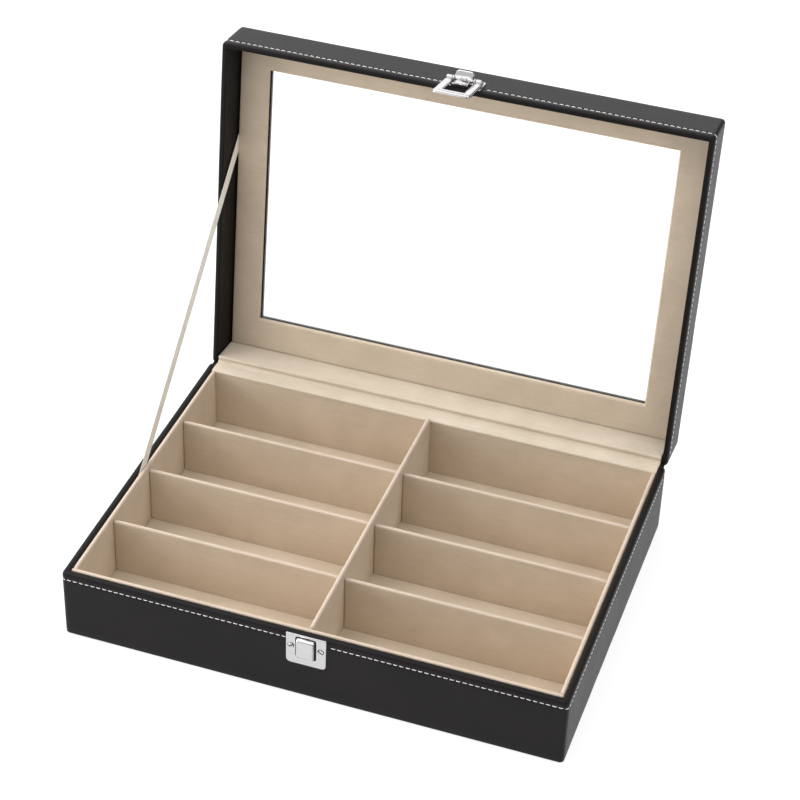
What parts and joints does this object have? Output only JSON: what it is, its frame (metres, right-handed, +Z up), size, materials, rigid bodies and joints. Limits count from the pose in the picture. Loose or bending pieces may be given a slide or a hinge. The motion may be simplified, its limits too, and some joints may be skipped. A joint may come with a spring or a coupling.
{
  "type": "multi glasses organizer",
  "caption": "Leather-covered case with fabric-lined compartments for glasses, a hinged lid with a clear window, a ribbon stay and a metal clasp.",
  "frame": {"origin": "centre of the underside", "axes": "+X to the right along the length, +Y towards the hinge at the back, +Z up; the lid is open at rest"},
  "size_m": [0.335, 0.3132, 0.301],
  "materials": {
    "board": "bare board, hidden under the covering",
    "black_leather": "fine pebbled grain, low sheen",
    "white_thread": "spun thread, matt",
    "beige_lining": "short soft nap, matt",
    "underside_felt": "pressed felt, matt",
    "cream_ribbon": "ribbed woven ribbon, slight sheen",
    "bright_metal": "bright plated, lightly worn",
    "clear_pane": "clear and polished"
  },
  "bodies": {
    "base": {"base_felt": "underside_felt", "base_bottom_board": "board", "base_wall_front": "board", "base_wall_back": "board", "base_wall_left": "board", "base_wall_right": "board", "base_leather_cover": "black_leather", "floor_pad": "beige_lining", "liner_front": "beige_lining", "liner_back": "beige_lining", "liner_left": "beige_lining", "liner_right": "beige_lining", "divider_center": "beige_lining", "divider_left_front": "beige_lining", "divider_left_middle": "beige_lining", "divider_left_back": "beige_lining", "divider_right_front": "beige_lining", "divider_right_middle": "beige_lining", "divider_right_back": "beige_lining", "strike_plate": "bright_metal", "strike_screws": "bright_metal", "leather_spine": "black_leather", "hinge_cloth": "beige_lining", "ribbon_stay": "cream_ribbon"},
    "lid": {"lid_wall_front": "board", "lid_wall_back": "board", "lid_wall_left": "board", "lid_wall_right": "board", "lid_top_frame": "board", "lid_leather_cover": "black_leather", "window_pane": "clear_pane", "lid_liner_panel": "beige_lining", "clasp_mount_plate": "bright_metal", "clasp_screws": "bright_metal", "clasp_pin": "bright_metal", "clasp_spring": "bright_metal"},
    "hasp": {"clasp_hasp": "bright_metal"}
  },
  "joints": [
    {"name": "lid_hinge", "type": "hinge", "parent": "base", "child": "lid", "pos_m": [0, 0.1228, 0.0489], "axis": [1, 0, 0], "range_deg": [0, 96.6], "deforming": ["leather_spine", "hinge_cloth", "ribbon_stay"]},
    {"name": "hasp_pivot", "type": "hinge", "parent": "lid", "child": "hasp", "pos_m": [-0.0008, 0.161, 0.29464], "axis": [-1, 0, 0], "range_deg": [-5, 14], "stiffness_Nm_per_rad": 0.05}
  ]
}
